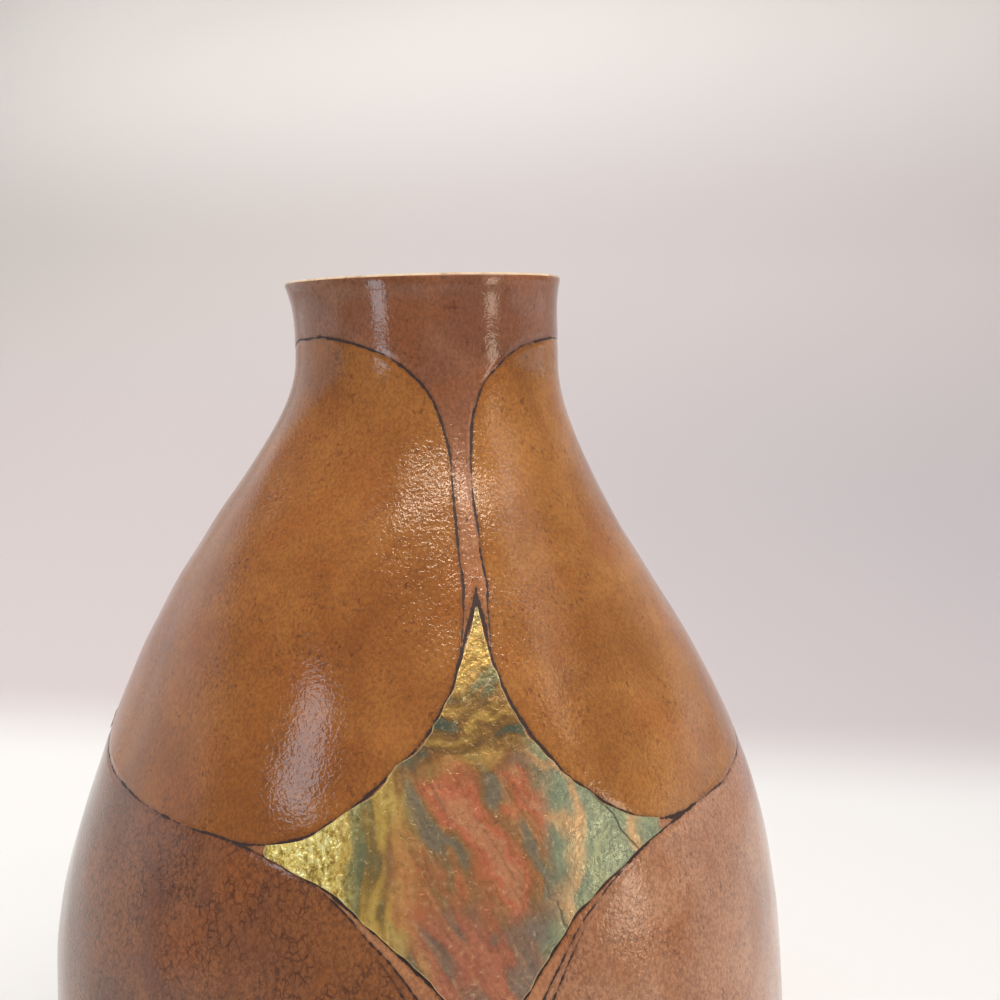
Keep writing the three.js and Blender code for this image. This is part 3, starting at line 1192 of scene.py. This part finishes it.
def add_lamp(name, place, size, glow, colour, aim=SHOULDER, roll=0, shape="RECTANGLE"):
    """A flat lamp at a place, turned to face another and rolled about the line between them. Its
    power is its glow times its area times pi, so that the glow is how bright it looks."""
    light = bpy.data.lights.new(name, "AREA")
    light.shape = shape
    light.size, light.size_y = size
    area = size[0] * size[1] * (pi / 4 if shape == "ELLIPSE" else 1)
    light.energy = glow * area * pi
    light.color = colour
    lamp = put(name, light)
    lamp.location = place
    facing = (Vector(aim) - Vector(place)).to_track_quat("-Z", "Y").to_matrix()
    lamp.rotation_euler = (facing @ Matrix.Rotation(roll, 3, "Z")).to_euler()


def light_the_room():
    """A dim room with a pale background: a small cool pane near the vase on its left, two warm
    bars above and in front, warm lamps on the right, and wide plain screens round about."""
    cool, plain = (0.68, 0.85, 1), (0.98, 0.98, 1)
    warm, amber = (1, 0.82, 0.64), (1, 0.68, 0.46)
    world = bpy.data.worlds.new("dim_room")
    bpy.context.scene.world = world
    world.use_nodes = True
    tree = world.node_tree
    sky = tree.nodes["Background"]
    sky.inputs["Color"].default_value = (*plain, 1)
    sky.inputs["Strength"].default_value = 0.32
    seen = start(tree, "Background")
    seen.inputs["Color"].default_value = screen_colour((216, 210, 206))
    to_camera = start(tree, "LightPath").outputs["Is Camera Ray"]
    inputs = {0: to_camera, 1: sky.outputs["Background"], 2: seen.outputs["Background"]}
    mixed = add("MixShader", inputs)
    tree.links.new(mixed.outputs["Shader"], tree.nodes["World Output"].inputs["Surface"])

    oval = "ELLIPSE"
    pane_aim = (-0.018, -0.036, 0.152)
    add_lamp("left_pane", (-0.0906, -0.1, 0.159), (0.024, 0.048), 4.4, cool, pane_aim)
    for side, x, z, roll in (("left", -0.03, 0.755, -13), ("right", 0.25, 0.736, 12)):
        place, aim = (x, -0.41, z), (x, 0, SHOULDER.z)
        add_lamp(f"front_bar_{side}", place, (0.3, 0.03), 30, warm, aim, radians(roll))
    add_lamp("right_strip", around(50, 30, 0.6), (0.08, 0.16), 3.4, amber)
    add_lamp("right_glint", around(49, 1, 0.6), (0.1, 0.15), 5.2, warm)
    add_lamp("right_glow", around(66, 34, 0.8), (0.22, 0.14), 1.3, warm, shape=oval)
    add_lamp("right_screen", around(80, 54, 0.7), (0.51, 0.3), 2.9, plain)
    add_lamp("overhead_screen", (0, -0.1, 1.1), (0.9, 0.6), 2.9, plain)
    add_lamp("left_low_screen", around(-122, 5, 0.9), (1.5, 0.5), 0.62, plain, shape=oval)
    add_lamp("right_low_screen", around(97, -2, 0.85), (1, 0.24), 0.65, plain, shape=oval)
    add_lamp("back_screen", around(185, 50, 0.8), (0.6, 0.4), 1.5, plain)
    add_lamp("left_back_screen", around(-140, 42, 0.9), (0.5, 0.4), 1.7, plain)


def add_camera():
    """The camera stands close to the belly, a little below the rim, turned to the right of the
    axis and tipped down."""
    heading = pi + CAMERA_AZIMUTH - CAMERA_YAW
    way = Vector(stand(heading, math.cos(CAMERA_PITCH), -math.sin(CAMERA_PITCH)))
    lens = bpy.data.cameras.new("camera")
    lens.lens = CAMERA_LENS
    lens.sensor_width = CAMERA_LENS
    lens.clip_start = 0.01
    camera = put("camera", lens)
    camera.location = stand(CAMERA_AZIMUTH, CAMERA_DISTANCE, CAMERA_HEIGHT) * MM
    camera.rotation_euler = way.to_track_quat("-Z", "Y").to_euler()
    bpy.context.scene.camera = camera


mottle = mottle_group()
grain = grain_group()
shell = shell_piece([skin_material(mottle, grain), cut_material(mottle), inside_material(mottle)])
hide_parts("gourd_shell")
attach(shell, "root")

gilt = leaf_material(grain)
for number in range(1, STAR_COUNT + 1):
    leaf = leaf_piece(number, gilt)
    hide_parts(f"leaf_star_{number}")
    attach(leaf, "root")

stage_piece()
light_the_room()
add_camera()
bpy.context.scene.view_settings.view_transform = "Standard"
